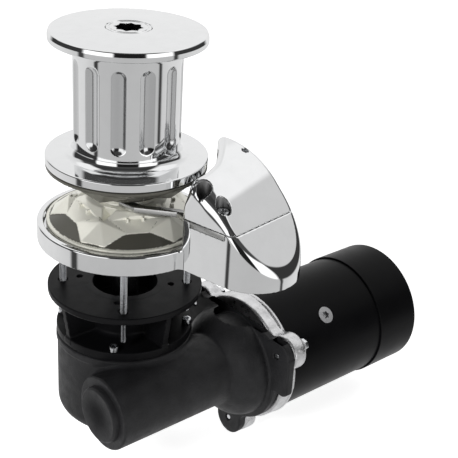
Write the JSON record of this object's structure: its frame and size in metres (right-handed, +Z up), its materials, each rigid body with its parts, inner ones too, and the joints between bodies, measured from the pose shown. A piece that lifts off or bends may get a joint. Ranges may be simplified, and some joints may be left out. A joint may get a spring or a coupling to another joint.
{
  "type": "anchor windlass",
  "caption": "Electric vertical windlass with a fluted rope drum above a chain gypsy, a chain hood on a deck base, and a worm gearbox and cylindrical motor hung below deck.",
  "frame": {"origin": "drum and gypsy axis at the deck face under the base", "axes": "+Z up along the drum axis, +X along the motor away from the gearbox, -Y towards the chain hood"},
  "size_m": [0.3687, 0.2291, 0.399],
  "materials": {
    "polished_chrome": "mirror polished",
    "satin_nickel": "satin nickel on bronze, bright edges",
    "clutch_bronze": "turned",
    "steel": "ground stainless steel",
    "black_casting": "grained black coating",
    "black_anodised": "satin black",
    "motor_black": "semi-gloss black",
    "raw_casting": "as cast",
    "gear_steel": "machined",
    "core_iron": "laminated",
    "winding": "enamelled copper",
    "carbon": "matte",
    "insulator": "matte",
    "seal_rubber": "matte",
    "bright_zinc": "bright zinc"
  },
  "bodies": {
    "deck_unit": {"base": "polished_chrome", "hood_base": "polished_chrome", "base_bush": "clutch_bronze", "base_seal": "seal_rubber", "hood_cover": "polished_chrome", "hood_screws": "steel", "chain_stripper": "steel", "deck_studs": "steel", "adapter": "black_anodised", "adapter_ring": "black_anodised", "adapter_ribs": "black_anodised", "adapter_screws": "bright_zinc", "shaft_seal": "seal_rubber", "upper_bearing": "steel", "lower_bearing": "steel", "gearbox_housing": "black_casting", "bell_housing": "black_casting", "housing_plate": "black_casting", "worm_end_cap": "black_casting", "worm_bearing_end": "steel", "worm_bearing_drive": "steel", "worm_seal": "seal_rubber", "motor_flange": "raw_casting", "flange_bolts": "bright_zinc", "motor_tube": "motor_black", "rear_sleeve": "motor_black", "rear_bracket": "raw_casting", "front_motor_bearing": "steel", "rear_motor_bearing": "steel", "pole_shoes": "core_iron", "field_coils": "winding", "pole_screws": "bright_zinc", "brush_plate": "insulator", "brush_holders": "clutch_bronze", "brushes": "carbon", "brush_springs": "steel", "terminal_studs": "clutch_bronze", "terminal_insulators": "insulator", "terminal_nuts": "bright_zinc"},
    "main_shaft": {"main_shaft": "steel", "shaft_keys": "gear_steel", "lower_clutch_cone": "clutch_bronze", "wheel_hub": "gear_steel", "worm_wheel": "clutch_bronze"},
    "worm_drive": {"worm_shaft": "gear_steel", "drive_coupling": "gear_steel", "armature_shaft": "gear_steel", "armature_core": "core_iron", "armature_windings": "winding", "commutator": "winding"},
    "gypsy": {"gypsy_upper": "satin_nickel", "gypsy_lower": "satin_nickel", "gypsy_bush": "clutch_bronze", "gypsy_screws": "steel"},
    "drum": {"drum_head": "polished_chrome", "drum_barrel": "polished_chrome", "drum_low_flange": "polished_chrome", "upper_clutch_cone": "clutch_bronze"},
    "clutch_nut": {"clutch_nut": "polished_chrome"}
  },
  "joints": [
    {"name": "spindle_turn", "type": "hinge", "parent": "deck_unit", "child": "main_shaft", "pos_m": [0, 0, 0], "axis": [0, 0, 1], "continuous": true},
    {"name": "worm_turn", "type": "hinge", "parent": "deck_unit", "child": "worm_drive", "pos_m": [0, -0.058, -0.1295], "axis": [1, 0, 0], "continuous": true},
    {"name": "gypsy_turn", "type": "hinge", "parent": "main_shaft", "child": "gypsy", "pos_m": [0, 0, 0.043], "axis": [0, 0, 1], "continuous": true},
    {"name": "drum_lift", "type": "slide", "parent": "main_shaft", "child": "drum", "axis": [0, 0, 1], "range_m": [0, 0.003]},
    {"name": "clutch_nut_turn", "type": "hinge", "parent": "drum", "child": "clutch_nut", "pos_m": [0, 0, 0.17], "axis": [0, 0, 1], "range_deg": [0, 540]}
  ],
  "couplings": [
    {"joint": "worm_turn", "follows": "spindle_turn", "ratio": -37},
    {"joint": "clutch_nut_turn", "follows": "drum_lift", "rad_per_m": 3141.6}
  ]
}
